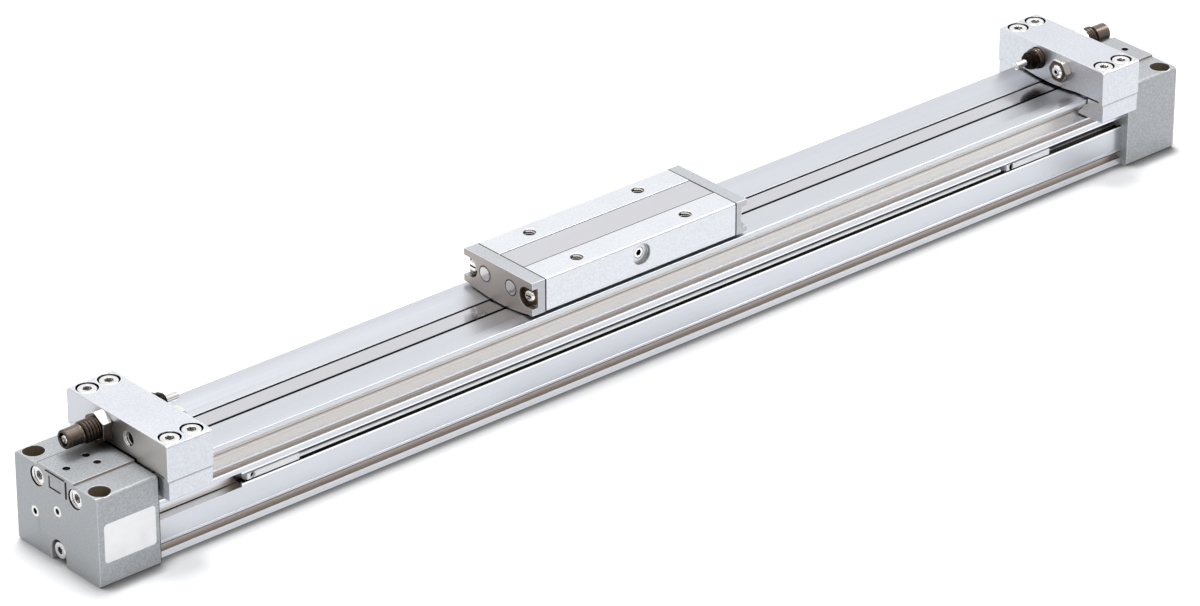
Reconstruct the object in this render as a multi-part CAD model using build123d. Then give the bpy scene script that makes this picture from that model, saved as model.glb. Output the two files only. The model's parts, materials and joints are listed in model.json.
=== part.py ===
from build123d import *
import math
import os

# Rodless pneumatic cylinder: a slide table driven by a piston inside a slotted tube,
# with a stopper block at each end and two position sensors in the side groove.
# Millimetres. Origin: middle of the length, on the base. +X along the stroke, +Z up.
# Parts at the left end are built once and mirrored for the right end.

# Whole unit
bore = 20.0
stroke = 300.0
length = stroke + 200.0
bore_z = 17.4

# Clearances
screw_gap = 0.05
shaft_gap = 0.05
slide_gap = 0.3
guide_gap = 0.15
hook_gap = 0.02

# Screws: radius, head radius, head height, key size
m5_r = 2.5
m4_r = 2.0
m4_head_r = 3.45
m4_head = 4.0
m4_key = 3.0
m3_r = 1.5
m3_head_r = 3.0
m3_head = 3.0
m3_key = 2.5
m25_r = 1.25
key_depth = 2.2

# Tube
cover_length = 25.0
tube_end = length / 2 - cover_length
tube_half_width = 19.0
foot_half_width = 19.3
foot_height = 2.4
foot_groove_top = 5.0
foot_lip_top = 6.2
foot_groove_depth = 2.1
mouth_low = 15.5
mouth_high = 18.65
sensor_lip = 0.9
pocket_low = 14.7
pocket_high = 19.2
pocket_y = 15.3
entry_low = 14.0
entry_high = 19.4
entry_length = 36.4
side_groove_low = 21.5
side_groove_top = 23.6
side_groove_y = 17.0
ledge_z = 24.4
recess_y = 14.3
recess_top = 25.6
wing_under_y = 18.4
wing_under_z = 30.2
wing_y = 18.7
wing_low_z = 30.7
wing_high_z = 32.05
wing_top_z = 32.45
rim_y = 17.1
tube_top_z = 31.4
tube_curve_y = 14.0
slot_half = 2.3
belt_seat_half = 3.7
belt_seat_top = 28.5
band_recess_half = 4.6
band_recess_z = 31.05
seam_y = 3.8
seam_bottom = 30.4
magnet_y0 = 2.6
magnet_y1 = 3.4
magnet_bottom = 29.7
air_passage_y = 12.6
air_passage_z = 14.2
air_passage_r = 1.5

# End covers
cover_half_width = 22.5
cover_top = 33.0
cover_edge = 1.5
pad_half_width = 10.0
pad_top = 33.9
mount_hole_x = 4.5
mount_hole_y = 18.0
mount_hole_r = 2.4
mount_sink_r = 3.75
mount_sink_depth = 4.5
panel_half_width = 5.5
panel_bottom = 26.3
panel_proud = 0.4
panel_rim = 2.3
panel_rim_low = 1.1
panel_rim_top = 1.4
spigot_length = 2.5
belt_notch = 8.6
gasket_outer_r = 11.1
gasket_thickness = 0.8
belt_pocket_half = 4.8
belt_pocket_depth = 12.5

# Cover screws
cover_screw_y = 10.4
cover_screw_z = 28.3
cover_screw_sink_r = 3.6
cover_screw_sink = 4.2
low_screw_z = 4.6
low_notch_half = 4.0
low_notch_depth = 3.4
screw_bite = 10.0

# Plugs, cushion and belt clamp
plug_r = 2.1
plug_length = 4.6
centre_plug_z = 19.3
cushion_boss_r = 3.5
cushion_boss_bore = 1.5
cushion_boss_reach = 12.0
cushion_boss_seat = 4.0
needle_x = 4.6
needle_bottom = 24.5
clamp_screw_x = 14.8
clamp_screw_y = 3.05

# Belts
seal_belt_half = 3.5
seal_belt_thickness = 1.0
seal_belt_z = 27.42
seal_belt_low_z = 22.4
band_half = 3.75
band_thickness = 0.25
band_high_z = 41.4
belt_overhang = belt_pocket_depth - 1.0
belt_turn_inset = 3.0
separator_inset = 8.0
separator_low_z = 32.0

# Stopper blocks
block_length = 18.8
block_x0 = cover_length + slide_gap
block_x1 = block_x0 + block_length
block_half_width = 27.2
block_top = 45.55
block_part_z = 31.7
block_part_bevel = 0.25
block_edge = 0.8
block_under_z = 33.3
block_relief = 0.7
block_seat_y = 15.0
block_heel = 2.4
clamp_gap_y = 19.1
clamp_bottom = 24.9
clamp_inset = 0.5
clamp_play_near = 0.95
clamp_play_far = 0.1
block_screw_x = (block_x0 + 4.9, block_x1 - 5.0)
block_screw_y = 22.4
block_screw_sink_r = 4.0
block_screw_sink = 4.2

# Shock absorbers and adjusting bolts
stop_z = 40.0
absorber_y = 7.0
absorber_thread_r = 4.0
absorber_rear_x = block_x0 - 16.5
absorber_rear_r = 3.4
absorber_rear_length = 6.3
absorber_front_x = block_x1 + 5.5
absorber_nose_r = 2.9
absorber_step_r = 3.4
absorber_stroke = 6.0
absorber_rod_r = 1.4
absorber_piston_r = 2.4
absorber_nut_flats = 10.0
absorber_nut_height = 4.0
bolt_y = -6.4
bolt_x0 = block_x0 + 3.7
bolt_tip_x = block_x1 + 3.9
bolt_nut_flats = 8.0
bolt_nut_height = 3.0

# Slide table
table_x = -11.74
table_length = 100.0
end_plate = 6.0
right_end_plate = 5.2
table_half_width = 18.2
table_top = 46.0
table_bottom = 33.5
table_edge = 0.5
table_hole_x = 25.0
table_hole_y = 12.5
table_hole_r = 2.1
table_hole_depth = 8.0
channel_half = 5.2
channel_roof = 38.0
channel_open_half = 36.0
strip_half = 6.5
strip_groove = 0.6
strip_thickness = 0.5
bearing_y0 = 10.0
bearing_y1 = 16.0
bearing_top = 35.5
side_screw_z = 40.7
side_sink_r = 3.9
side_sink_depth = 1.6
plate_middle_z = 31.75
plate_side_z = 33.4
plate_curve_y = 16.0
pin_y = 6.9
pin_z = 40.3
pin_r = 2.75
pin_proud = 0.2
notch_y = 14.8
notch_z = 39.7
notch_r = 3.7
notch_depth = 2.7

# Piston and yoke
yoke_r = 9.5
yoke_half_length = table_length / 2 - end_plate
yoke_flat_z = 21.6
tower_half = yoke_half_length / 2
tunnel_half = 3.9
tunnel_top = 24.2
neck_half = 2.0
head_half = 5.0
head_bottom = 33.2
head_top = 40.6
piston_length = 29.0
piston_end = yoke_half_length + piston_length
piston_r = 9.4
ring_r = bore / 2 - shaft_gap
cushion_hole_r = 3.9
cushion_hole_depth = 15.0
coupling_pin_x = 14.0
coupling_pin_z = 37.0
coupling_pin_r = 1.5

# Sensors
sensor_length = 22.0
left_sensor_x = -186.2
right_sensor_x = 165.5
lead_end_x = 162.9
sensor_height = 2.4
sensor_z = mouth_low + guide_gap + sensor_height / 2
lead_r = 0.65
lead_y = -18.0
lead_z = 16.68


def from_end(distance):
    return distance - length / 2


def block(x0, x1, y0, y1, z0, z1):
    middle = Pos((x0 + x1) / 2, (y0 + y1) / 2, (z0 + z1) / 2)
    return middle * Box(x1 - x0, y1 - y0, z1 - z0)


def bar_x(x0, x1, y, z, r):
    return Pos((x0 + x1) / 2, y, z) * Rot(0, 90, 0) * Cylinder(r, x1 - x0)


def bar_y(x, y0, y1, z, r):
    return Pos(x, (y0 + y1) / 2, z) * Rot(90, 0, 0) * Cylinder(r, y1 - y0)


def bar_z(x, y, z0, z1, r):
    return Pos(x, y, (z0 + z1) / 2) * Cylinder(r, z1 - z0)


def hex_x(x0, x1, y, z, flats, turn=0):
    outline = Pos(y, z, 0) * Rot(0, 0, turn) * RegularPolygon(flats / math.sqrt(3), 6)
    return extrude(Plane.YZ.offset(x0) * outline, amount=x1 - x0)


def prism_x(points, x0, x1):
    outline = make_face(Polyline(*points, close=True))
    return extrude(Plane.YZ.offset(x0) * outline, amount=x1 - x0)


def both_sides(half):
    other = [(-y, z) for y, z in reversed(half) if y != 0]
    return half + other


def mirror_x(part):
    return mirror(part, about=Plane.YZ)


def mirror_y(part):
    return mirror(part, about=Plane.XZ)


def group(*parts):
    return Compound(children=[solid for part in parts for solid in part.solids()])


# A screw hangs from its head's top face at the origin, with its shank pointing down.
def cap_screw(head_r, head_height, shank_r, shank_length, key):
    head = Pos(0, 0, -head_height / 2) * Cylinder(head_r, head_height)
    head = chamfer(head.edges().group_by(Axis.Z)[-1], 0.3)
    shank = Pos(0, 0, -head_height - shank_length / 2) * Cylinder(shank_r, shank_length)
    hollow = extrude(RegularPolygon(key / math.sqrt(3), 6), amount=-key_depth)
    return head + shank - hollow


def set_screw(r, screw_length, key, depth):
    body = Pos(0, 0, -screw_length / 2) * Cylinder(r, screw_length)
    hollow = extrude(RegularPolygon(key / math.sqrt(3), 6), amount=-depth)
    return body - hollow


def facing_left(x, y, z):
    return Pos(x, y, z) * Rot(0, -90, 0)


def tube_outline():
    groove_y = foot_half_width - foot_groove_depth
    lip_y = tube_half_width - sensor_lip
    foot = [(foot_half_width, 0), (foot_half_width, foot_height)]
    foot += [(groove_y, foot_height), (groove_y, foot_groove_top)]
    foot += [(foot_half_width, foot_groove_top), (foot_half_width, foot_lip_top)]
    foot += [(tube_half_width, foot_lip_top), (tube_half_width, mouth_low)]
    sensor = [(lip_y, mouth_low), (lip_y, pocket_low), (pocket_y, pocket_low)]
    sensor += [(pocket_y, pocket_high), (lip_y, pocket_high), (lip_y, mouth_high)]
    sensor += [(tube_half_width, mouth_high), (tube_half_width, side_groove_low)]
    ledge = [(side_groove_y, side_groove_low), (side_groove_y, side_groove_top)]
    ledge += [(tube_half_width, side_groove_top), (tube_half_width, ledge_z)]
    wing = [(recess_y, ledge_z), (recess_y, recess_top), (wing_under_y, wing_under_z)]
    wing += [(wing_y, wing_low_z), (wing_y, wing_high_z), (wing_y - 0.25, wing_high_z + 0.25)]
    wing += [(rim_y, wing_top_z)]
    top = [(tube_curve_y * i / 7, tube_top(tube_curve_y * i / 7)) for i in range(7, -1, -1)]
    return both_sides(foot + sensor + ledge + wing + top)


# The tube's top is a shallow trough.
def tube_top(y):
    part = min(abs(y) / tube_curve_y, 1)
    return tube_top_z + (wing_top_z - tube_top_z) * part ** 2


def tube_slot():
    long = tube_end + 1
    slot = block(-long, long, -slot_half, slot_half, bore_z, wing_top_z)
    seat = block(-long, long, -belt_seat_half, belt_seat_half, bore_z, belt_seat_top)
    recess = block(-long, long, -band_recess_half, band_recess_half, band_recess_z, wing_top_z)
    edge = block(-long, long, magnet_y0, magnet_y1, magnet_bottom, wing_top_z)
    edge += block(-long, long, seam_y, band_recess_half, seam_bottom, wing_top_z)
    return slot + seat + recess + edge + mirror_y(edge)


def end_holes():
    x0 = -tube_end - 1
    x1 = -tube_end + screw_bite + 1
    upper = bar_x(x0, x1, cover_screw_y, cover_screw_z, m4_r + screw_gap)
    lower = bar_x(x0, x1, 0, low_screw_z, m3_r + screw_gap)
    return upper + mirror_y(upper) + lower


# The sensor goes into its groove where the lips are milled away, at the left end.
def sensor_entry():
    outer = tube_half_width + 1
    return block(-tube_end - 1, -tube_end + entry_length, pocket_y, outer, entry_low, entry_high)


def cylinder_tube():
    tube = prism_x(tube_outline(), -tube_end, tube_end)
    tube -= bar_x(-tube_end - 1, tube_end + 1, 0, bore_z, bore / 2)
    tube -= tube_slot()
    tube -= bar_x(-tube_end - 1, tube_end + 1, air_passage_y, air_passage_z, air_passage_r)
    tube -= end_holes()
    tube -= mirror_x(end_holes())
    return tube - sensor_entry() - mirror_y(sensor_entry())


def magnet_strips():
    strip = block(-tube_end, tube_end, magnet_y0, magnet_y1, magnet_bottom, band_recess_z)
    return group(strip, mirror_y(strip))


def gasket(gap):
    x1 = -tube_end
    x0 = x1 - gasket_thickness
    ring = bar_x(x0, x1, 0, bore_z, gasket_outer_r + gap)
    ring -= bar_x(x0 - 1, x1 + 1, 0, bore_z, bore / 2 + 0.2 - gap)
    ring -= block(x0 - 1, x1 + 1, -belt_pocket_half, belt_pocket_half, bore_z, wing_top_z)
    return ring


def cover_body():
    x0 = from_end(0)
    body = block(x0, -tube_end, -cover_half_width, cover_half_width, 0, cover_top)
    long_edges = body.edges().filter_by(Axis.X)
    body = fillet(long_edges.group_by(Axis.Z)[-1], cover_edge)
    low_edges = body.edges().filter_by(Axis.X).group_by(Axis.Z)[0]
    body = chamfer(low_edges, 0.8)
    body += block(x0, -tube_end, -pad_half_width, pad_half_width, cover_top - 1, pad_top)
    panel_x = x0 - panel_proud
    body += block(panel_x, x0 + 1, -panel_half_width, panel_half_width, panel_bottom, cover_top)
    half = panel_half_width - panel_rim
    low = panel_bottom + panel_rim_low
    mark = block(panel_x - 1, panel_x + 0.2, -half, half, low, cover_top - panel_rim_top)
    return body - mark


def cover_screw_holes():
    x0 = from_end(0)
    sink = bar_x(x0 - 1, x0 + cover_screw_sink, cover_screw_y, cover_screw_z, cover_screw_sink_r)
    sink += bar_x(x0, -tube_end + 1, cover_screw_y, cover_screw_z, m4_r + screw_gap)
    notch_end = x0 + low_notch_depth
    notch = block(x0 - 1, notch_end, -low_notch_half, low_notch_half, -1, low_screw_z)
    notch += bar_x(x0 - 1, notch_end, 0, low_screw_z, low_notch_half)
    notch += bar_x(x0, -tube_end + 1, 0, low_screw_z, m3_r + screw_gap)
    return sink + mirror_y(sink) + notch


def cover_mount_holes():
    x = from_end(mount_hole_x)
    hole = bar_z(x, mount_hole_y, -1, cover_top + 1, mount_hole_r)
    hole += bar_z(x, mount_hole_y, cover_top - mount_sink_depth, cover_top + 1, mount_sink_r)
    return hole + mirror_y(hole)


def cover_air_ways():
    x0 = from_end(0)
    centre = bar_x(x0 - 1, x0 + plug_length + 0.4, 0, centre_plug_z, plug_r + screw_gap)
    centre += bar_x(x0, x0 + 10, 0, centre_plug_z, air_passage_r)
    centre += bar_z(x0 + 10, 0, bore_z, centre_plug_z, air_passage_r)
    centre += bar_x(x0 + 10, -tube_end, 0, bore_z, air_passage_r)
    plug_end = x0 + plug_length + 0.4
    side = bar_x(x0 - 1, plug_end, air_passage_y, air_passage_z, plug_r + screw_gap)
    side += bar_x(x0, -tube_end + 1, air_passage_y, air_passage_z, air_passage_r)
    return centre + side


def cover_top_holes():
    hole = bar_z(from_end(needle_x), 0, needle_bottom - 1, pad_top + 1, m25_r + shaft_gap)
    x = from_end(clamp_screw_x)
    for y in (-clamp_screw_y, clamp_screw_y):
        hole += bar_z(x, y, belt_seat_top, pad_top + 1, m25_r + screw_gap)
    return hole


def belt_pocket():
    x0 = -tube_end - belt_pocket_depth
    top = band_recess_z + band_thickness + 0.1
    return block(x0, -tube_end + 1, -belt_pocket_half, belt_pocket_half, seal_belt_z - 0.1, top)


def cover_spigot():
    x1 = -tube_end + spigot_length
    spigot = bar_x(-tube_end - 1, x1, 0, bore_z, bore / 2 - 0.1)
    notch_half = belt_seat_half + 0.5
    spigot -= block(-tube_end, x1 + 1, -notch_half, notch_half, bore_z + belt_notch, wing_top_z)
    return spigot


def left_end_cover():
    cover = cover_body() - gasket(0.05) + cover_spigot()
    cover -= cover_screw_holes() + cover_mount_holes() + cover_air_ways()
    cover -= cover_top_holes() + belt_pocket()
    seat = -tube_end - cushion_boss_seat
    cover -= bar_x(seat, -tube_end + spigot_length + 1, 0, bore_z, cushion_boss_r + screw_gap)
    return cover


def left_cover_screws():
    x0 = from_end(0)
    reach = cover_length - cover_screw_sink + screw_bite
    screw = cap_screw(m4_head_r, m4_head, m4_r, reach, m4_key)
    top = facing_left(x0 + 0.2, cover_screw_y, cover_screw_z) * screw
    reach = cover_length - low_notch_depth + screw_bite
    screw = cap_screw(m3_head_r, m3_head, m3_r, reach, m3_key)
    low = facing_left(x0 + 0.4, 0, low_screw_z) * screw
    return group(top, mirror_y(top), low)


def left_port_plugs():
    plug = set_screw(plug_r, plug_length, 2.0, 2.0)
    x = from_end(0.1)
    side = facing_left(x, air_passage_y, air_passage_z) * plug
    return group(facing_left(x, 0, centre_plug_z) * plug, side)


def left_cushion_boss():
    x0 = -tube_end - cushion_boss_seat
    x1 = -tube_end + cushion_boss_reach
    boss = bar_x(x0, x1, 0, bore_z, cushion_boss_r)
    boss = chamfer(boss.edges().group_by(Axis.X)[-1], 1.0)
    return boss - bar_x(x0 - 1, x1 + 1, 0, bore_z, cushion_boss_bore)


def left_cushion_needle():
    x = from_end(needle_x)
    needle = bar_z(x, 0, needle_bottom, pad_top - 0.6, m25_r)
    slot = block(x - 2, x + 2, -0.2, 0.2, pad_top - 1.3, pad_top)
    return needle - slot


def left_belt_clamp():
    x0 = -tube_end - belt_pocket_depth + 0.5
    bottom = seal_belt_z + seal_belt_thickness
    return block(x0, -tube_end - 3, -4.5, 4.5, bottom, band_recess_z)


def left_clamp_screws():
    top = pad_top - 0.5
    tip = band_recess_z + band_thickness
    screw = set_screw(m25_r, top - tip, 1.3, 1.2)
    x = from_end(clamp_screw_x)
    near = Pos(x, -clamp_screw_y, top) * screw
    return group(near, mirror_y(near))


# The band begins to rise this far from the table's middle, inside its end plates.
def belt_turn_x():
    return table_length / 2 - belt_turn_inset


# A belt lies flat at flat_z and reaches turn_z under or over the yoke.
def belt_path(flat_z, turn_z, inner, outer):
    path = [(-tube_end - belt_overhang, flat_z)]
    steps = 12
    for i in range(steps + 1):
        t = i / steps
        rise = (1 - math.cos(math.pi * t)) / 2
        path.append((table_x - outer + (outer - inner) * t, flat_z + (turn_z - flat_z) * rise))
    for i in range(steps + 1):
        t = i / steps
        rise = (1 + math.cos(math.pi * t)) / 2
        path.append((table_x + inner + (outer - inner) * t, flat_z + (turn_z - flat_z) * rise))
    path.append((tube_end + belt_overhang, flat_z))
    return path


def belt(path, half, thickness):
    over = [(x, z + thickness) for x, z in reversed(path)]
    outline = make_face(Polyline(*(path + over), close=True))
    return extrude(Plane.XZ.offset(-half) * outline, amount=2 * half)


def dust_seal_band():
    path = belt_path(band_recess_z, band_high_z, tower_half, belt_turn_x())
    return belt(path, band_half, band_thickness)


def seal_belt():
    path = belt_path(seal_belt_z, seal_belt_low_z, tower_half, yoke_half_length - 1)
    return belt(path, seal_belt_half, seal_belt_thickness)


# The block's underside and the clamp plate's top share this slope at the outer edge.
def heel(drop):
    outer = block_half_width
    start = (outer - block_heel, block_under_z - drop)
    return [start, (outer - block_part_bevel, block_part_z + block_part_bevel - drop)]


def stopper_outline():
    outer = block_half_width
    half = [(outer, block_part_z + 2 * block_part_bevel), (outer, block_top - block_edge)]
    half += [(outer - block_edge, block_top)]
    low = [(y, tube_top(y) + block_relief) for y in (0, tube_curve_y / 2, tube_curve_y)]
    low += [(clamp_gap_y, block_under_z)] + heel(0)
    return both_sides(low + half)


def left_stopper_block():
    x0 = from_end(block_x0)
    x1 = from_end(block_x1)
    body = prism_x(stopper_outline(), x0, x1)
    seat = block(x0 + 1.5, x1 - 1.5, block_seat_y, rim_y - 0.1, wing_top_z, block_under_z + 1)
    body += seat + mirror_y(seat)
    sink = block_top - block_screw_sink
    for x in block_screw_x:
        hole = bar_z(from_end(x), block_screw_y, block_part_z - 1, sink + 1, m4_r + screw_gap)
        hole += bar_z(from_end(x), block_screw_y, sink, block_top + 1, block_screw_sink_r)
        body -= hole + mirror_y(hole)
    body -= bar_x(x0 - 1, x1 + 1, absorber_y, stop_z, absorber_thread_r + shaft_gap)
    return body - bar_x(x0 - 1, x1 + 1, bolt_y, stop_z, m5_r + shaft_gap)


# The plate hooks under the wing with a slope that follows the wing's underside.
def clamp_plate(play):
    outer = block_half_width
    slope = (wing_under_z - recess_top) / (wing_under_y - recess_y)
    hook_y = recess_y + slide_gap
    hook_z = recess_top + slope * slide_gap - hook_gap
    step_y = wing_under_y - 0.2
    top = block_under_z - play
    outline = [(hook_y, clamp_bottom), (outer - 0.5, clamp_bottom), (outer, clamp_bottom + 0.5)]
    outline += [(outer, block_part_z - 2 * block_part_bevel)]
    outline += list(reversed(heel(0.04)))
    if play > 0.3:
        outline += [(outer - block_heel, top)]
    outline += [(clamp_gap_y, top), (clamp_gap_y, wing_under_z - 0.25)]
    outline += [(step_y, wing_under_z - 0.2 * slope - hook_gap), (hook_y, hook_z)]
    x0 = from_end(block_x0 + clamp_inset)
    x1 = from_end(block_x1 - clamp_inset)
    plate = prism_x(outline, x0, x1)
    for x in block_screw_x:
        hole = bar_z(from_end(x), block_screw_y, clamp_bottom - 1, block_under_z, m4_r + screw_gap)
        plate -= hole
    return plate


def left_clamp_plates():
    return group(clamp_plate(clamp_play_far), mirror_y(clamp_plate(clamp_play_near)))


def left_block_screws():
    top = block_top - 0.2
    screw = cap_screw(m4_head_r, m4_head, m4_r, top - m4_head - clamp_bottom - 0.6, m4_key)
    screws = []
    for x in block_screw_x:
        far = Pos(from_end(x), block_screw_y, top) * screw
        screws += [far, mirror_y(far)]
    return group(*screws)


def nut(x0, x1, y, flats, hole_r, turn):
    body = hex_x(x0, x1, y, stop_z, flats, turn)
    corner_r = flats / math.sqrt(3)
    cone = Pos((x0 + x1) / 2, y, stop_z) * Rot(0, 90, 0) * Cylinder(corner_r, x1 - x0)
    body &= chamfer(cone.edges().filter_by(GeomType.CIRCLE), 0.7 * (corner_r - flats / 2))
    return body - bar_x(x0 - 1, x1 + 1, y, stop_z, hole_r)


def left_absorber_nut():
    x1 = from_end(block_x0)
    x0 = x1 - absorber_nut_height
    return nut(x0, x1, absorber_y, absorber_nut_flats, absorber_thread_r + shaft_gap, 30)


def left_bolt_nut():
    x0 = from_end(block_x1)
    return nut(x0, x0 + bolt_nut_height, bolt_y, bolt_nut_flats, m5_r + shaft_gap, 0)


def left_absorber_body():
    rear = from_end(absorber_rear_x)
    front = from_end(absorber_front_x)
    thread0 = rear + absorber_rear_length
    thread1 = front - 2.4
    body = bar_x(rear, thread0, absorber_y, stop_z, absorber_rear_r)
    body = chamfer(body.edges().group_by(Axis.X)[0], 0.6)
    body += bar_x(thread0, thread1, absorber_y, stop_z, absorber_thread_r)
    body += bar_x(thread1, front - 1.0, absorber_y, stop_z, absorber_step_r)
    body += bar_x(front - 1.0, front, absorber_y, stop_z, absorber_nose_r)
    body -= block(rear - 1, rear + 1.2, absorber_y - 4, absorber_y + 4, stop_z - 0.6, stop_z + 0.6)
    body -= bar_x(rear + 9, front - 4.0, absorber_y, stop_z, absorber_piston_r + 0.1)
    return body - bar_x(front - 5.0, front + 1, absorber_y, stop_z, absorber_rod_r + shaft_gap)


def left_absorber_rod():
    front = from_end(absorber_front_x)
    tip = front + absorber_stroke
    rod = bar_x(front - 10.0, tip, absorber_y, stop_z, absorber_rod_r)
    rod = chamfer(rod.edges().group_by(Axis.X)[-1], 0.3)
    return rod + bar_x(front - 12.0, front - 9.0, absorber_y, stop_z, absorber_piston_r)


def left_adjusting_bolt():
    x0 = from_end(bolt_x0)
    x1 = from_end(bolt_tip_x)
    bolt = bar_x(x0, x1, bolt_y, stop_z, m5_r)
    bolt = chamfer(bolt.edges().group_by(Axis.X)[-1], 0.7)
    bolt -= hex_x(x1 - 1.0, x1 + 1, bolt_y, stop_z, 1.5)
    return bolt - hex_x(x0 - 1, x0 + 4, bolt_y, stop_z, m3_key)


def bearing_outline(gap):
    y0 = bearing_y0 - gap
    y1 = bearing_y1 + gap
    low = [(y, tube_top(y) + shaft_gap) for y in (y0, 12, 14, y1)]
    return low + [(y1, bearing_top), (y0, bearing_top)]


def table_body_half():
    return table_length / 2 - end_plate


def table_outline():
    half = [(table_half_width, table_bottom), (table_half_width, table_top - table_edge)]
    half += [(table_half_width - table_edge, table_top), (strip_half, table_top)]
    half += [(strip_half, table_top - strip_groove), (0, table_top - strip_groove)]
    return both_sides(half)


def table_channel(x0, x1):
    channel = block(x0 - 1, x1 + 1, -channel_half, channel_half, table_bottom - 1, channel_roof)
    open_x0 = table_x - channel_open_half
    open_x1 = table_x + channel_open_half
    low = channel_roof - 1
    return channel + block(open_x0, open_x1, -channel_half, channel_half, low, table_top)


def table_side_hole():
    face = -table_half_width
    hole = bar_y(table_x, face - 1, face + side_sink_depth, side_screw_z, side_sink_r)
    return hole + bar_y(table_x, face, face + 9, side_screw_z, m4_r + screw_gap)


def plate_screw_hole():
    x = table_x - table_length / 2
    return bar_x(x, x + end_plate + 7, -notch_y, notch_z, m25_r + screw_gap)


def pin_hole(y):
    x = table_x - table_length / 2
    return bar_x(x - 1, x + end_plate + 4, y, pin_z, pin_r + screw_gap)


# Four copies: both ends of the table and both sides. The right end plate is the thinner one.
def at_right_plate(shape):
    return Pos(2 * table_x + right_end_plate - end_plate, 0, 0) * mirror_x(shape)


def at_four_corners(shape):
    pair = shape + mirror_y(shape)
    return pair + at_right_plate(pair)


def slide_table():
    x0 = table_x - table_body_half()
    x1 = table_x + table_body_half()
    body = prism_x(table_outline(), x0, x1) - table_channel(x0, x1)
    groove = prism_x(bearing_outline(0.05), x0 - 1, x1 + 1)
    body -= groove + mirror_y(groove)
    low = table_top - table_hole_depth
    for x in (table_x - table_hole_x, table_x + table_hole_x):
        hole = bar_z(x, table_hole_y, low, table_top + 1, table_hole_r)
        rim = Cone(table_hole_r, table_hole_r + 0.4, 0.4)
        hole += Pos(x, table_hole_y, table_top - 0.2) * rim
        body -= hole + mirror_y(hole)
    side = table_side_hole()
    body -= side + mirror_y(side)
    body -= at_four_corners(plate_screw_hole() + pin_hole(-pin_y))
    return body - pin_bars(15, coupling_pin_r + screw_gap)


def pin_bars(half, r):
    left = bar_y(table_x - coupling_pin_x, -half, half, coupling_pin_z, r)
    return left + bar_y(table_x + coupling_pin_x, -half, half, coupling_pin_z, r)


def table_top_strip():
    x0 = table_x - table_body_half()
    x1 = table_x + table_body_half()
    low = table_top - strip_groove
    return block(x0, x1, -strip_half + 0.05, strip_half - 0.05, low, low + strip_thickness)


def plate_outline():
    side = table_half_width
    half = [(side, table_top - 0.3), (side - 0.3, table_top), (0, table_top)]
    under = [(table_half_width, plate_side_z), (plate_curve_y, plate_side_z)]
    steps = 8
    for i in range(1, steps + 1):
        y = plate_curve_y * (1 - i / steps)
        rise = (plate_side_z - plate_middle_z) * (y / plate_curve_y) ** 2
        under.append((y, plate_middle_z + rise))
    right = list(reversed(under)) + half
    return right + [(-y, z) for y, z in reversed(right) if y != 0]


def table_end_plate(thickness):
    x0 = table_x - table_length / 2
    x1 = x0 + notch_depth
    plate = prism_x(plate_outline(), x0, x0 + thickness)
    notch = bar_x(x0 - 1, x1, -notch_y, notch_z, notch_r)
    side = -table_half_width - 1
    notch += block(x0 - 1, x1, side, -notch_y, notch_z - notch_r, notch_z + notch_r)
    cut = notch + plate_screw_hole() + pin_hole(-pin_y)
    return plate - cut - mirror_y(cut)


def table_plate_screws():
    x0 = table_x - table_length / 2 + notch_depth
    head = bar_x(x0 - 1.6, x0, -notch_y, notch_z, 2.3)
    head = fillet(head.edges().group_by(Axis.X)[0], 1.0)
    screw = head + bar_x(x0, x0 + end_plate + 3, -notch_y, notch_z, m25_r)
    screw -= block(x0 - 2, x0 - 0.8, -notch_y - 1.4, -notch_y + 1.4, notch_z - 0.3, notch_z + 0.3)
    return group(at_four_corners(screw))


def table_stop_pins():
    x0 = table_x - table_length / 2
    pin = bar_x(x0 - pin_proud, x0 + end_plate + 4, -pin_y, pin_z, pin_r)
    pin = chamfer(pin.edges().group_by(Axis.X)[0], 0.2)
    return group(at_four_corners(pin))


def table_side_screws():
    screw = Rot(90, 0, 0) * set_screw(m4_r, 7.0, 2.0, 1.6)
    near = Pos(table_x, -table_half_width + side_sink_depth + 0.2, side_screw_z) * screw
    return group(near, mirror_y(near))


def bearing_strips():
    x0 = table_x - table_body_half()
    x1 = table_x + table_body_half()
    strip = prism_x(bearing_outline(0), x0, x1)
    return group(strip, mirror_y(strip))


def belt_separators():
    outer = table_length / 2 - separator_inset
    inner = tower_half + 3
    points = [(table_x - outer, separator_low_z), (table_x - inner, separator_low_z)]
    for i in range(9):
        x = inner + (outer - 1 - inner) * i / 8
        t = (belt_turn_x() - x) / (belt_turn_x() - tower_half)
        rise = (1 - math.cos(math.pi * t)) / 2
        z = band_recess_z + (band_high_z - band_recess_z) * rise
        points.append((table_x - x, max(z - 0.4, separator_low_z + 0.4)))
    outline = make_face(Polyline(*points, close=True))
    wedge = extrude(Plane.XZ.offset(-channel_half + 0.1) * outline, amount=2 * channel_half - 0.2)
    return group(wedge, Pos(2 * table_x, 0, 0) * mirror_x(wedge))


def piston_yoke():
    x0 = table_x - yoke_half_length
    x1 = table_x + yoke_half_length
    bar = bar_x(x0, x1, 0, bore_z, yoke_r)
    bar -= block(x0 - 1, x1 + 1, -yoke_r, yoke_r, yoke_flat_z, bore_z + yoke_r + 1)
    t0 = table_x - tower_half
    t1 = table_x + tower_half
    tower = bar_x(t0, t1, 0, bore_z, yoke_r)
    tower += block(t0, t1, -neck_half, neck_half, bore_z, head_bottom + 1)
    tower += block(t0, t1, -head_half, head_half, head_bottom, head_top)
    tower -= block(t0 - 1, t1 + 1, -tunnel_half, tunnel_half, yoke_flat_z, tunnel_top)
    yoke = bar + tower - pin_bars(head_half + 1, coupling_pin_r + screw_gap)
    yoke -= bar_x(x0 - 1, x0 + 9, 0, bore_z, m4_r + screw_gap)
    return yoke - bar_x(x1 - 9, x1 + 1, 0, bore_z, m4_r + screw_gap)


def coupling_pins():
    return group(pin_bars(14.8, coupling_pin_r))


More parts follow.
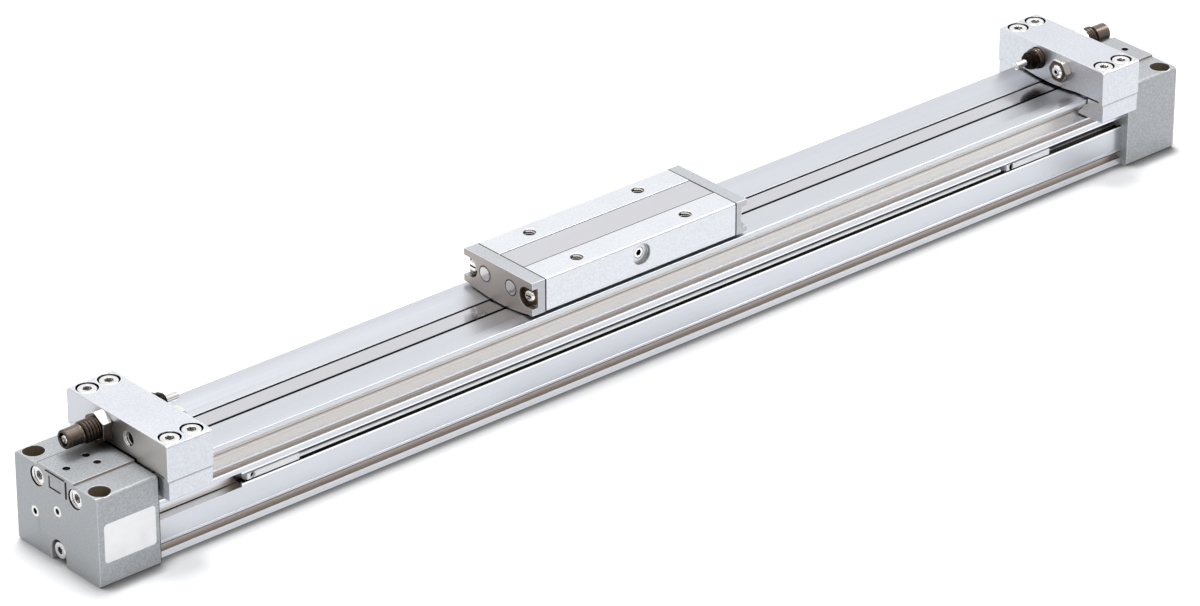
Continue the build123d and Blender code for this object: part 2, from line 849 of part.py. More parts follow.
def ring_x(x0, x1, outer_r, inner_r):
    return bar_x(x0, x1, 0, bore_z, outer_r) - bar_x(x0 - 1, x1 + 1, 0, bore_z, inner_r)


def left_piston():
    x0 = table_x - piston_end
    x1 = table_x - yoke_half_length
    body = bar_x(x0, x1, 0, bore_z, piston_r)
    body = chamfer(body.edges().group_by(Axis.X)[0], 0.5)
    body -= ring_x(x0 + 3, x0 + 7, piston_r + 1, 7.6 - 0.05)
    body -= ring_x(x0 + 13, x0 + 17, piston_r + 1, 7.5 - 0.05)
    body -= ring_x(x0 + 19, x0 + 24, piston_r + 1, 8.6 - 0.05)
    body -= bar_x(x0 - 1, x0 + cushion_hole_depth, 0, bore_z, cushion_hole_r)
    return body - bar_x(x0, x1 + 1, 0, bore_z, m4_r + screw_gap)


def piston_screws():
    x0 = table_x - piston_end + cushion_hole_depth - m4_head
    reach = x0 + m4_head - (table_x - yoke_half_length)
    screw = cap_screw(m4_head_r, m4_head, m4_r, 8.0 - reach, m4_key)
    screw = facing_left(x0, 0, bore_z) * screw
    return group(screw, Pos(2 * table_x, 0, 0) * mirror_x(screw))


def at_both_pistons(shape):
    return group(shape, Pos(2 * table_x, 0, 0) * mirror_x(shape))


def piston_seals():
    x0 = table_x - piston_end
    lip = ring_x(x0 + 3.1, x0 + 4.4, ring_r, 7.6)
    heel = ring_x(x0 + 4.4, x0 + 6.9, ring_r - 0.5, 7.6)
    return at_both_pistons(lip + heel)


def wear_rings():
    x0 = table_x - piston_end
    return at_both_pistons(ring_x(x0 + 19.1, x0 + 23.9, ring_r, 8.6))


def piston_magnets():
    x0 = table_x - piston_end
    return at_both_pistons(ring_x(x0 + 13.1, x0 + 16.9, 9.3, 7.5))


def sensor(x0):
    x1 = x0 + sensor_length
    front = -tube_half_width + 0.1
    shoulder = -tube_half_width + sensor_lip + slide_gap
    back = -pocket_y - slide_gap
    face = sensor_height / 2
    low = pocket_low + slide_gap
    body = block(x0, x1, front, shoulder, sensor_z - face, sensor_z + face)
    body += block(x0, x1, shoulder, back, low, pocket_high - slide_gap)
    return body - bar_y(x0 + 2.4, front - 1, back + 1, sensor_z, 1.0 + screw_gap)


def sensor_screw(x0):
    front = -tube_half_width + 0.3
    back = -pocket_y - slide_gap
    screw = bar_y(x0 + 2.4, front, back, sensor_z, 1.0)
    return screw - block(x0 + 1, x0 + 4, front - 1, front + 0.5, sensor_z - 0.2, sensor_z + 0.2)


def sensor_lead():
    return bar_x(left_sensor_x + sensor_length, lead_end_x, lead_y, lead_z, lead_r)


def build_left_and_right():
    return {
        "end_cover": left_end_cover(),
        "cover_screws": left_cover_screws(),
        "port_plugs": left_port_plugs(),
        "tube_gasket": gasket(0),
        "cushion_boss": left_cushion_boss(),
        "cushion_needle": left_cushion_needle(),
        "belt_clamp": left_belt_clamp(),
        "belt_clamp_screws": left_clamp_screws(),
        "stopper_block": left_stopper_block(),
        "clamp_plates": left_clamp_plates(),
        "stopper_block_screws": left_block_screws(),
        "absorber_lock_nut": left_absorber_nut(),
        "absorber_body": left_absorber_body(),
        "absorber_rod": left_absorber_rod(),
        "adjusting_bolt": left_adjusting_bolt(),
        "adjusting_bolt_nut": left_bolt_nut(),
    }


def build_table():
    across = Pos(2 * table_x, 0, 0)
    piston = left_piston()
    return {
        "slide_table": slide_table(),
        "table_top_strip": table_top_strip(),
        "left_table_end_plate": table_end_plate(end_plate),
        "right_table_end_plate": at_right_plate(table_end_plate(right_end_plate)),
        "table_end_plate_screws": table_plate_screws(),
        "table_stop_pins": table_stop_pins(),
        "table_side_screws": table_side_screws(),
        "table_bearing_strips": bearing_strips(),
        "belt_separators": belt_separators(),
        "piston_yoke": piston_yoke(),
        "coupling_pins": coupling_pins(),
        "left_piston": piston,
        "right_piston": across * mirror_x(piston),
        "piston_screws": piston_screws(),
        "piston_seals": piston_seals(),
        "piston_wear_rings": wear_rings(),
        "piston_magnets": piston_magnets(),
    }


def build_single():
    return {
        "cylinder_tube": cylinder_tube(),
        "belt_magnet_strips": magnet_strips(),
        "dust_seal_band": dust_seal_band(),
        "seal_belt": seal_belt(),
        "left_sensor": sensor(left_sensor_x),
        "left_sensor_screw": sensor_screw(left_sensor_x),
        "left_sensor_lead": sensor_lead(),
        "right_sensor": sensor(right_sensor_x),
        "right_sensor_screw": sensor_screw(right_sensor_x),
    }


os.makedirs("parts", exist_ok=True)
parts = build_single()
parts.update(build_table())
for name, shape in build_left_and_right().items():
    parts["left_" + name] = shape
    parts["right_" + name] = mirror_x(shape)
for name, shape in parts.items():
    solids = shape.solids()
    whole = solids[0] if len(solids) == 1 else Compound(children=list(solids))
    export_step(whole, "parts/" + name + ".step")
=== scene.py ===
import json
import math

import bmesh
import bpy
from mathutils import Matrix, Vector

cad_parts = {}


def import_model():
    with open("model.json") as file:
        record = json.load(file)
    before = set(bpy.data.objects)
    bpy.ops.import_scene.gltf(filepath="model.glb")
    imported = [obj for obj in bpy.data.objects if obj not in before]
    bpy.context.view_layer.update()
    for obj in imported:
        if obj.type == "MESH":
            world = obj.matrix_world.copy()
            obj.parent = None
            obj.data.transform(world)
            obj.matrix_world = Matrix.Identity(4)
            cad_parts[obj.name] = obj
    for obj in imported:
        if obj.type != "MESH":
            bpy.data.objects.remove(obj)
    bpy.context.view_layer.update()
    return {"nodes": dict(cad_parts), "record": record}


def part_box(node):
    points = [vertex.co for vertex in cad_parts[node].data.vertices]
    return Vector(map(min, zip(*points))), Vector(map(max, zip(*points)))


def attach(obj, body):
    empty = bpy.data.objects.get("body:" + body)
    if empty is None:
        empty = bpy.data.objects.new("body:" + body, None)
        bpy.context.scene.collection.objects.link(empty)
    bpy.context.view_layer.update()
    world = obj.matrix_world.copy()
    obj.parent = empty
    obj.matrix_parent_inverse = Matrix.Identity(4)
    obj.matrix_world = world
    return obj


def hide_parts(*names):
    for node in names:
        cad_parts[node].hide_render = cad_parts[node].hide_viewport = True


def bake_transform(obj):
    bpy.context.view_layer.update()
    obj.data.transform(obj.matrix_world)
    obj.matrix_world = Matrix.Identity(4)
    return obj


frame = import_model()
cad_nodes = frame["nodes"]

MM = 0.001
# Edges that turn more than this are sharp, and faces that turn less than this are one flat face
SHARP = math.radians(32)
FLAT = math.radians(0.4)

# Places on the cylinder, in millimetres
TABLE_MIDDLE = -11.74
COVER_FACE = 250.0
COVER_LENGTH = 25.0
BOLT_Y = -6.4
ABSORBER_Y = 7.0
STOP_Z = 40.0
ABSORBER_REAR = COVER_FACE - 8.8
SIDES = ("left", "right")


# Materials

class Value:
    """A number that changes over a surface. Sums and products of it add Math nodes."""

    def __init__(self, finish, socket):
        self.finish = finish
        self.socket = socket

    def worked(self, operation, first, second):
        return self.finish.node("ShaderNodeMath", {"operation": operation}, {0: first, 1: second})

    def __add__(self, other):
        return self.worked("ADD", self, other)

    def __radd__(self, other):
        return self.worked("ADD", other, self)

    def __sub__(self, other):
        return self.worked("SUBTRACT", self, other)

    def __rsub__(self, other):
        return self.worked("SUBTRACT", other, self)

    def __mul__(self, other):
        return self.worked("MULTIPLY", self, other)

    def __rmul__(self, other):
        return self.worked("MULTIPLY", other, self)

    def over(self, limit):
        """1 above the limit, 0 below it."""
        return self.worked("GREATER_THAN", self, limit)

    def between(self, low, high):
        """Rises smoothly from 0 at low to 1 at high."""
        settings = {"clamp": True, "interpolation_type": "SMOOTHSTEP"}
        values = {"Value": self, "From Min": low, "From Max": high}
        return self.finish.node("ShaderNodeMapRange", settings, values)


class Finish:
    """One material of the cylinder, with its shader and the nodes that feed it."""

    def __init__(self, name, roughness, metallic):
        self.material = bpy.data.materials.new(name)
        self.material.use_nodes = True
        self.tree = self.material.node_tree
        self.tree.nodes.clear()
        self.shader = self.tree.nodes.new("ShaderNodeBsdfPrincipled")
        self.shader.inputs["Roughness"].default_value = roughness
        self.shader.inputs["Metallic"].default_value = metallic
        end = self.tree.nodes.new("ShaderNodeOutputMaterial")
        self.tree.links.new(self.shader.outputs["BSDF"], end.inputs["Surface"])

    def node(self, kind, settings=None, values=None, out=0):
        """Adds any node, with its settings and its sockets' values, and gives one of its outputs."""
        made = self.tree.nodes.new(kind)
        for name, value in (settings or {}).items():
            setattr(made, name, value)
        for name, value in (values or {}).items():
            self.put(made.inputs[name], value)
        return Value(self, made.outputs[out])

    def put(self, socket, value):
        if isinstance(value, Value):
            self.tree.links.new(value.socket, socket)
        else:
            socket.default_value = value

    def noise(self, cells, stretch=(1, 1, 1), detail=2.0):
        """Noise with so many cells to a metre, each as long as stretch says on X, Y and Z."""
        place = self.node("ShaderNodeTexCoord", out="Object")
        scale = tuple(cells / s for s in stretch)
        place = self.node("ShaderNodeMapping", None, {"Vector": place, "Scale": scale})
        return self.node("ShaderNodeTexNoise", None, {"Vector": place, "Scale": 1.0, "Detail": detail})

    def mixed(self, factor, first, second):
        mix = self.tree.nodes.new("ShaderNodeMix")
        mix.data_type = "RGBA"
        self.put(mix.inputs["Factor"], factor)
        self.put(mix.inputs["A"], first)
        self.put(mix.inputs["B"], second)
        return Value(self, mix.outputs["Result"])

    def open_to_air(self, reach_mm, alone=True):
        """1 on an open face, down to 0 deep in a groove or hole, of the piece's own or beside others."""
        values = {"Distance": reach_mm * MM}
        settings = {"samples": 8, "only_local": alone}
        return self.node("ShaderNodeAmbientOcclusion", settings, values, "AO")

    def edges(self, reach_mm):
        """1 on the very edges of a piece, 0 a reach away from them."""
        values = {"Distance": reach_mm * MM}
        settings = {"samples": 6, "only_local": True, "inside": True}
        inner = self.node("ShaderNodeAmbientOcclusion", settings, values, "AO")
        return 1 - inner.between(0.5, 0.95)

    def absolute(self, value):
        return self.node("ShaderNodeMath", {"operation": "ABSOLUTE"}, {0: value})

    def place(self, axis):
        """The point's place along an axis, in metres."""
        coords = self.node("ShaderNodeTexCoord", out="Object")
        return self.node("ShaderNodeSeparateXYZ", None, {0: coords}, axis)

    def facing(self, axis):
        """How far a face looks along an axis, from -1 to 1."""
        coords = self.node("ShaderNodeTexCoord", out="Normal")
        return self.node("ShaderNodeSeparateXYZ", None, {0: coords}, axis)

    def bore(self, first, second, radius_mm):
        """1 inside a round bore, given the two distances from its axis."""
        return 1 - (first * first + second * second).over((radius_mm * MM) ** 2)

    def layered(self, face, layers):
        """Lays colours over a face one after another, each where its mask is 1."""
        for mask, colour in layers:
            face = self.mixed(mask, face, colour)
        return face

    def colours(self, value):
        self.put(self.shader.inputs["Base Color"], value)

    def hollows(self, colour, deep, reach_mm, low, high):
        """The colour on open faces, passing into the deep colour in grooves and holes as painted shade."""
        self.colours(self.mixed(self.open_to_air(reach_mm).between(low, high), deep, colour))

    def roughness(self, value):
        self.put(self.shader.inputs["Roughness"], value)

    def relief(self, height, depth_mm):
        values = {"Strength": 1.0, "Distance": depth_mm * MM, "Height": height}
        self.put(self.shader.inputs["Normal"], self.node("ShaderNodeBump", None, values))


def linear(red, green, blue):
    """A colour read as 0 to 255 on the screen, as Blender wants it."""
    parts = []
    for part in (red, green, blue):
        part /= 255
        parts.append(part / 12.92 if part <= 0.04045 else ((part + 0.055) / 1.055) ** 2.4)
    return (*parts, 1.0)


def shaded(colour, factor):
    return (*(part * factor for part in colour[:3]), 1.0)


# Painted shade for grooves and holes, painted shade for the hollows of steel, black for joints and for
# painted shade in pockets, and a painted highlight for edges
BROWN_SHADE = linear(62, 54, 48)
HOLLOW_SHADE_BROWN = linear(36, 28, 22)
JOINT_AND_SHADE_BLACK = linear(18, 16, 15)
PAINTED_EDGE_HIGHLIGHT = linear(252, 253, 255)


def within(value, low_mm, high_mm):
    """1 between two places in millimetres, 0 outside them."""
    return value.over(low_mm * MM) * (1 - value.over(high_mm * MM))


def seam_shade(finish):
    """1 in the two narrow seams beside the dust band, 0 elsewhere."""
    across = finish.place("Y")
    height = finish.place("Z")
    near = within(across, -4.95, -3.3) * within(height, 30.0, 31.75)
    far = within(across, 3.7, 4.65) * within(height, 30.0, 31.1)
    return near + far


# Places on the tube, in millimetres: two along X, then distances from its middle plane
ENTRY_END = -188.4
RIGHT_SENSOR_END = 187.6
TUBE_SIDE = 18.9
FOOT_SIDE = 19.1
MOUTH_LIP = 18.8
# Heights between which the tube's side has a painted highlight along an edge
HIGHLIGHT_HEIGHTS = ((1.5, 2.3), (14.5, 15.2), (18.75, 19.25), (20.85, 21.4))


def groove_shades(finish, face):
    """Painted highlights on edges and painted light and shade on the tube's side. A layer is a band of
    height, some way deep.
    """
    across = finish.place("Y")
    side = finish.absolute(across)
    height = finish.place("Z")
    along = finish.place("X")

    def deeper(than_mm):
        return 1 - side.over(than_mm * MM)

    def band(low, high):
        return within(height, low, high)

    layers = [(band(low, high) * side.over(TUBE_SIDE * MM), PAINTED_EDGE_HIGHLIGHT) for low, high in HIGHLIGHT_HEIGHTS]

    # Painted light on the foot's face, painted shade in the foot groove and a painted shade line under its
    # lip
    foot = (1 - height.over(1.5 * MM)) * side.over(FOOT_SIDE * MM)
    layers += [
        (foot, linear(244, 247, 252)),
        (deeper(FOOT_SIDE) * band(2.35, 5.0), linear(212, 205, 201)),
        (band(4.95, 5.35), linear(78, 70, 64)),
    ]

    # Painted warm shade in the side groove, lighter low on its back wall and darker high on it
    groove = deeper(18.85) * band(21.45, 23.65)
    groove_back = deeper(17.1)
    layers += [
        (groove, linear(214, 211, 210)),
        (groove * groove_back, linear(228, 222, 218)),
        (groove * height.over(21.9 * MM) * groove_back, linear(206, 200, 196)),
    ]

    # Painted light on the ledge and recess under the wing, a little less in its inner corner and on its
    # upper wall, with painted shade lines on the wing's sloping underside and along its lower face
    layers += [
        (deeper(TUBE_SIDE) * band(24.3, 30.6), linear(253, 254, 255)),
        (band(24.5, 25.2) * deeper(14.4), linear(240, 237, 235)),
        (band(25.7, 30.4), linear(238, 235, 233)),
        (band(27.05, 28.0) * side.over(14.9 * MM), linear(124, 114, 108)),
        (band(30.1, 30.8) * side.over(16 * MM), linear(210, 207, 205)),
    ]

    # Painted shade makes the sensor groove black inside, with a painted shade line on its lower lip, while
    # its back wall deep inside stays pale. Its milled entry at the left end gets painted light, with
    # painted shade in its corner and toward the sensor.
    entry = 1 - along.over(ENTRY_END * MM)
    inside = 1 - entry
    past_sensor = along.over(RIGHT_SENSOR_END * MM) * deeper(15.6)
    pocket = deeper(MOUTH_LIP) * band(14.5, 19.4) * inside * (1 - past_sensor)
    milled = entry * deeper(MOUTH_LIP) * band(13.5, 19.6)
    wall_foot = entry * band(13.9, 15.4) * deeper(15.5)
    wall_corner = entry * band(13.9, 14.34) * deeper(15.66)
    toward_sensor = along.between(-197 * MM, -188.6 * MM)
    layers += [
        (pocket, linear(20, 18, 17)),
        (inside * side.over(18.0 * MM) * band(15.25, 15.75), linear(24, 21, 20)),
        (inside * deeper(15.5) * band(14.9, 19.3), linear(214, 211, 209)),
        (milled, linear(238, 239, 242)),
        (wall_foot * 0.6, linear(206, 203, 202)),
        (wall_corner, linear(62, 53, 47)),
        (milled * toward_sensor * 0.8, linear(150, 138, 128)),
    ]

    # Painted bluish shade along the wing's far top edge
    far_outline = across.over(18.25 * MM) * height.over(31.7 * MM)
    layers.append((far_outline, linear(118, 128, 142)))
    return finish.layered(face, layers)


def drawn_aluminium(name, colour, roughness):
    """Satin anodised extrusion: long faint die lines on X under a fine even grain, with painted highlights
    on its edges, painted light and shade on its side and painted shade in the dust band's seams.
    """
    finish = Finish(name, roughness, 1.0)
    lines = finish.noise(1500, (160, 1, 1), 3)
    cloud = finish.noise(60, (6, 1, 1), 2)
    grain = finish.noise(4200, detail=1)
    tone = lines * 0.35 + cloud * 0.65
    face = finish.mixed(tone, shaded(colour, 0.93), shaded(colour, 1.06))
    # Painted highlights on the edges
    face = finish.mixed(finish.edges(0.4) * 0.55, face, PAINTED_EDGE_HIGHLIGHT)
    face = groove_shades(finish, face)
    # Painted shade in the seams beside the dust band
    finish.colours(finish.mixed(seam_shade(finish), face, linear(16, 15, 14)))
    finish.roughness(lines * 0.10 + grain * 0.08 + (roughness - 0.09))
    finish.relief(lines * 0.5 + grain * 0.5, 0.012)
    return finish.material


def blasted_aluminium(
        name, colour, roughness, metallic, details, grain_mm=0.03, contrast=0.16, far_edge=22.0):
    """Die casting or milled block, glass-blasted and anodised: a fine pearly grain all over, with painted
    shade in crevices and grooves, painted highlights on its near edges and painted bluish shade on its far
    edges.
    """
    finish = Finish(name, roughness, metallic)
    grain = finish.noise(3200, detail=3)
    speck = finish.noise(1300, detail=2)
    cloud = finish.noise(45, detail=2)
    tone = speck.between(0.32, 0.68) * 0.7 + cloud * 0.3
    face = finish.mixed(tone, shaded(colour, 1 - contrast), shaded(colour, 1 + contrast))
    # Painted shade in narrow crevices, then painted highlights on near edges and painted bluish shade on
    # far ones, then painted shade in grooves and holes
    face = finish.mixed(finish.open_to_air(1.2).between(0.35, 0.85), shaded(colour, 0.5), face)
    far = finish.place("Y").over(far_edge * MM)
    painted_edge_tone = finish.mixed(far, PAINTED_EDGE_HIGHLIGHT, linear(118, 126, 140))
    face = finish.mixed(finish.edges(0.45) * 0.8, face, painted_edge_tone)
    face = finish.mixed(finish.open_to_air(8.0).between(0.15, 0.75), BROWN_SHADE, face)
    finish.colours(details(finish, face))
    finish.roughness(cloud * 0.06 + grain * 0.06 + (roughness - 0.06))
    finish.relief(grain, grain_mm)
    return finish.material


def from_middle(finish, axis):
    """The distance from the middle of the cylinder along an axis, in metres."""
    return finish.absolute(finish.place(axis))


# Places on the covers and blocks, in millimetres from the middle. The pad is the raised part on a cover
COVER_TOP = 33.0
PAD_TOP = 33.75
PAD_SIDE = 10.3
MOUNT_X = 245.5
MOUNT_Y = 18
COVER_SCREW_Y = 10.4
COVER_SCREW_Z = 28.3
BLOCK_OUTER = 224.55
BLOCK_SCREW_Y = 22.4
BLOCK_SCREWS_X = (219.8, 210.9)


def cover_details(finish, face):
    """Painted light on the outer face, painted shadow on the top near the absorber and the block, painted
    shade on the pad's step and far edge, on the panel's frame lines, in the mounting holes, screw pockets
    and small holes, painted bluish shade on the far edge, and the dark joint by the block.
    """
    along, side = from_middle(finish, "X"), from_middle(finish, "Y")
    across, height = finish.place("Y"), finish.place("Z")
    top = height.over(COVER_TOP * MM)
    # How open the top is to other parts, for the painted shadow under the absorber and beside the block
    near_block = finish.open_to_air(7.0, alone=False).between(0.25, 0.8)
    pad_step = within(height, 33.02, 33.78) * within(side, 9.7, PAD_SIDE)
    pad_edge = within(across, 9.6, PAD_SIDE) * height.over(PAD_TOP * MM)

    frame_side = within(across, -6.1, -5.45) * within(height, 26.2, 32.7)
    frame_top = within(height, 32.7, 33.2) * within(across, -5.3, 5.3) * along.over(250.05 * MM)
    mark_side = within(across, 2.95, 3.35) * within(height, 27.3, 31.6)
    mark_low = within(height, 27.2, 27.7) * within(across, -2.9, 3.2)
    panel = along.over(249.7 * MM)
    frame_shadow_lines = (frame_side + frame_top + mark_side + mark_low) * panel

    mount = finish.bore(along - MOUNT_X * MM, side - MOUNT_Y * MM, 3.9) * (1 - height.over(32.7 * MM))
    far_outline = across.over(22.15 * MM) * along.over(249.6 * MM)
    pocket = finish.bore(side - COVER_SCREW_Y * MM, height - COVER_SCREW_Z * MM, 3.68)
    pocket = pocket * (1 - along.over(249.93 * MM))
    needle = finish.bore(along - 245.4 * MM, across, 1.7)
    clamp_screws = finish.bore(along - 235.2 * MM, side - 3.05 * MM, 1.7)
    small = (needle + clamp_screws) * (1 - height.over(PAD_TOP * MM)) * height.over(26 * MM)
    joint = within(along, 225.02, 225.35) * (height.over(32.4 * MM) + (1 - finish.place("X").over(0)))
    return finish.layered(face, [
        (along.over(249.85 * MM) * 0.5, linear(190, 193, 196)),
        ((1 - near_block) * top, linear(54, 46, 40)),
        (pad_step, linear(150, 140, 133)),
        (pad_edge, linear(70, 66, 62)),
        (frame_shadow_lines, linear(58, 48, 42)),
        (mount, linear(138, 126, 107)),
        (far_outline, linear(108, 114, 132)),
        (pocket + small + joint, JOINT_AND_SHADE_BLACK),
    ])


def block_details(finish, face):
    """Painted light on the outer face, warmer toward the near side, with painted shade beside the nut and
    cover, painted bluish shade on the far edges, a painted highlight round the bolt hole's rim, painted
    shade in the screw pockets, and the dark joint over the cover, black with the shade of its corner.
    """
    along, side = from_middle(finish, "X"), from_middle(finish, "Y")
    across, height = finish.place("Y"), finish.place("Z")
    outer = along.over(BLOCK_OUTER * MM)
    near_part = across.between(2 * MM, -8 * MM)
    beside = finish.open_to_air(6.0, alone=False).between(0.3, 0.95)
    far_outline = across.over(26.8 * MM) * (height.over(45.15 * MM) + outer)
    rim = finish.bore(across - BOLT_Y * MM, height - STOP_Z * MM, 3.0) * outer
    over_pad = (1 - height.over(34.2 * MM)) * (1 - side.over(PAD_SIDE * MM))
    over_cover = (1 - height.over(33.35 * MM)) * (1 - side.over(21.6 * MM))
    beside_cover = (1 - height.over(32.6 * MM)) * (1 - side.over(23.0 * MM))
    joint = (over_pad + over_cover + beside_cover) * outer
    first, second = [finish.bore(along - x * MM, side - BLOCK_SCREW_Y * MM, 4.05) for x in BLOCK_SCREWS_X]
    pocket = (first + second) * within(height, 40.5, 45.3)
    return finish.layered(face, [
        (outer * 0.9, linear(208, 211, 215)),
        (outer * near_part * 0.9, linear(238, 234, 229)),
        ((1 - beside) * outer * 0.7, linear(104, 92, 82)),
        (far_outline, linear(118, 126, 142)),
        (rim, PAINTED_EDGE_HIGHLIGHT),
        (joint + pocket, JOINT_AND_SHADE_BLACK),
    ])


table_low, table_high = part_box("slide_table")
TABLE_X0, TABLE_X1 = table_low[0] / MM, table_high[0] / MM


def table_details(finish, face):
    """The dark joint against both end plates, wider down the sides than on top."""
    along = finish.place("X")
    side = from_middle(finish, "Y").over(17.9 * MM)
    reach = side * (0.14 * MM) + 0.28 * MM
    near_end = (TABLE_X0 * MM + reach - along).over(0.0) + (along - TABLE_X1 * MM + reach).over(0.0)
    return finish.mixed(near_end, face, linear(34, 34, 38))


def plate_details(finish, face):
    """Painted brown shade on the end plates' outer faces and in their screw notches, painted shade round
    each stop pin, and the dark joint against the table.
    """
    along, side, height = finish.place("X"), from_middle(finish, "Y"), finish.place("Z")
    outer = finish.absolute(finish.facing("X")).between(0.5, 0.9)
    notch = finish.bore(side - 14.8 * MM, height - 39.7 * MM, 3.74)
    notch = notch * (1 - finish.absolute(along - TABLE_MIDDLE * MM).over(49.55 * MM))
    notch = notch * (1 - side.over(17.9 * MM))
    pin = finish.bore(side - 6.9 * MM, height - 40.3 * MM, 3.05) * outer
    joint = within(along, TABLE_X0 - 0.2, TABLE_X0 + 0.1) + within(along, TABLE_X1 - 0.1, TABLE_X1 + 0.2)
    joint = joint * (1 - outer)
    return finish.layered(face, [
        (outer, linear(178, 171, 166)),
        (notch, linear(112, 95, 80)),
        (pin + joint, linear(38, 34, 32)),
    ])


def turned_steel(name, colour, roughness, reach_mm=3.5, high=0.9):
    """Plated or ground steel with faint tool marks, a slight cloud in its gloss and painted shade in its
    hollows.
    """
    finish = Finish(name, roughness, 1.0)
    marks = finish.noise(2600, (1, 7, 7), 2)
    cloud = finish.noise(420, detail=2)
    face = finish.mixed(cloud, shaded(colour, 0.88), shaded(colour, 1.08))
    finish.hollows(face, HOLLOW_SHADE_BROWN, reach_mm, 0.35, high)
    finish.roughness(cloud * 0.14 + marks * 0.08 + (roughness - 0.10))
    finish.relief(marks, 0.004)
    return finish.material


def nickel_nut(name):
    """A bright plated nut: painted light where it looks up, painted shade on its sides, painted highlights
    on its edges and painted shade in its hollows.
    """
    finish = Finish(name, 0.14, 1.0)
    marks = finish.noise(900, (1, 6, 6), 2)
    up = finish.facing("Z").between(0.25, 0.6)
    face = finish.mixed(up, linear(98, 86, 78), linear(246, 245, 243))
    face = finish.mixed(finish.edges(0.3) * 0.8, face, PAINTED_EDGE_HIGHLIGHT)
    finish.hollows(face, HOLLOW_SHADE_BROWN, 2.0, 0.2, 0.6)
    finish.roughness(marks * 0.08 + 0.12)
    finish.relief(marks, 0.003)
    return finish.material


# From here inward the absorber's thread root gets painted shade
THREAD_FROM = COVER_FACE - 15.2


def brown_oxide(name, light, dark, roughness, edge, has_root):
    """Oxide-coated steel round the stop axis, with painted light along its top and painted shade almost
    black below, painted highlights on its edges and painted shade in its thread root and hollows.
    """
    finish = Finish(name, roughness, 1.0)
    marks = finish.noise(1800, (0.4, 4, 4), 3)
    cloud = finish.noise(500, detail=2)
    up = finish.facing("Z").between(-0.35, 0.9)
    face = finish.mixed(up * 0.85 + cloud * 0.15, dark, light)
    face = finish.mixed(finish.edges(0.3) * edge, face, linear(190, 182, 176))
    root = 1 - from_middle(finish, "X").over(THREAD_FROM * MM)
    face = finish.mixed(root * has_root, face, linear(30, 24, 20))
    finish.hollows(face, linear(24, 19, 16), 1.6, 0.25, 0.7)
    finish.roughness(cloud * 0.12 + marks * 0.08 + (roughness - 0.1))
    finish.relief(marks, 0.005)
    return finish.material


def rolled_strip(name, colour, roughness):
    """Cold-rolled stainless strip, brushed along its length, with a dark joint round its rim and painted
    shade in the dust band's seams.
    """
    finish = Finish(name, roughness, 1.0)
    brush = finish.noise(5200, (260, 1, 4), 3)
    cloud = finish.noise(30, (5, 1, 1), 2)
    face = finish.mixed(brush * 0.4 + cloud * 0.6, shaded(colour, 0.95), shaded(colour, 1.04))
    across = finish.place("Y")
    along = finish.place("X")
    rim = within(across, -6.6, -6.25) + within(across, 6.05, 6.6)
    rim = rim + within(along, TABLE_X0, TABLE_X0 + 0.4) + within(along, TABLE_X1 - 0.4, TABLE_X1)
    rim = rim * finish.place("Z").over(44 * MM)
    finish.colours(finish.mixed(seam_shade(finish) + rim, face, linear(22, 21, 22)))
    finish.roughness(brush * 0.16 + (roughness - 0.08))
    finish.relief(brush, 0.004)
    return finish.material


def moulded(name, colour, roughness, grain_mm=0.015, coat=0.0):
    """Moulded resin or rubber with a spark-eroded grain and faint flow clouds."""
    finish = Finish(name, roughness, 0.0)
    grain = finish.noise(2600, detail=2)
    cloud = finish.noise(160, detail=2)
    finish.colours(finish.mixed(cloud, shaded(colour, 0.9), shaded(colour, 1.1)))
    finish.roughness(grain * 0.12 + (roughness - 0.06))
    finish.relief(grain, grain_mm)
    finish.shader.inputs["Coat Weight"].default_value = coat
    return finish.material


TUBE_COLOUR = linear(209, 212, 218)
CASTING_COLOUR = linear(172, 175, 178)
BLOCK_COLOUR = linear(214, 217, 223)
TABLE_COLOUR = linear(221, 224, 229)
PLATE_COLOUR = linear(186, 189, 193)

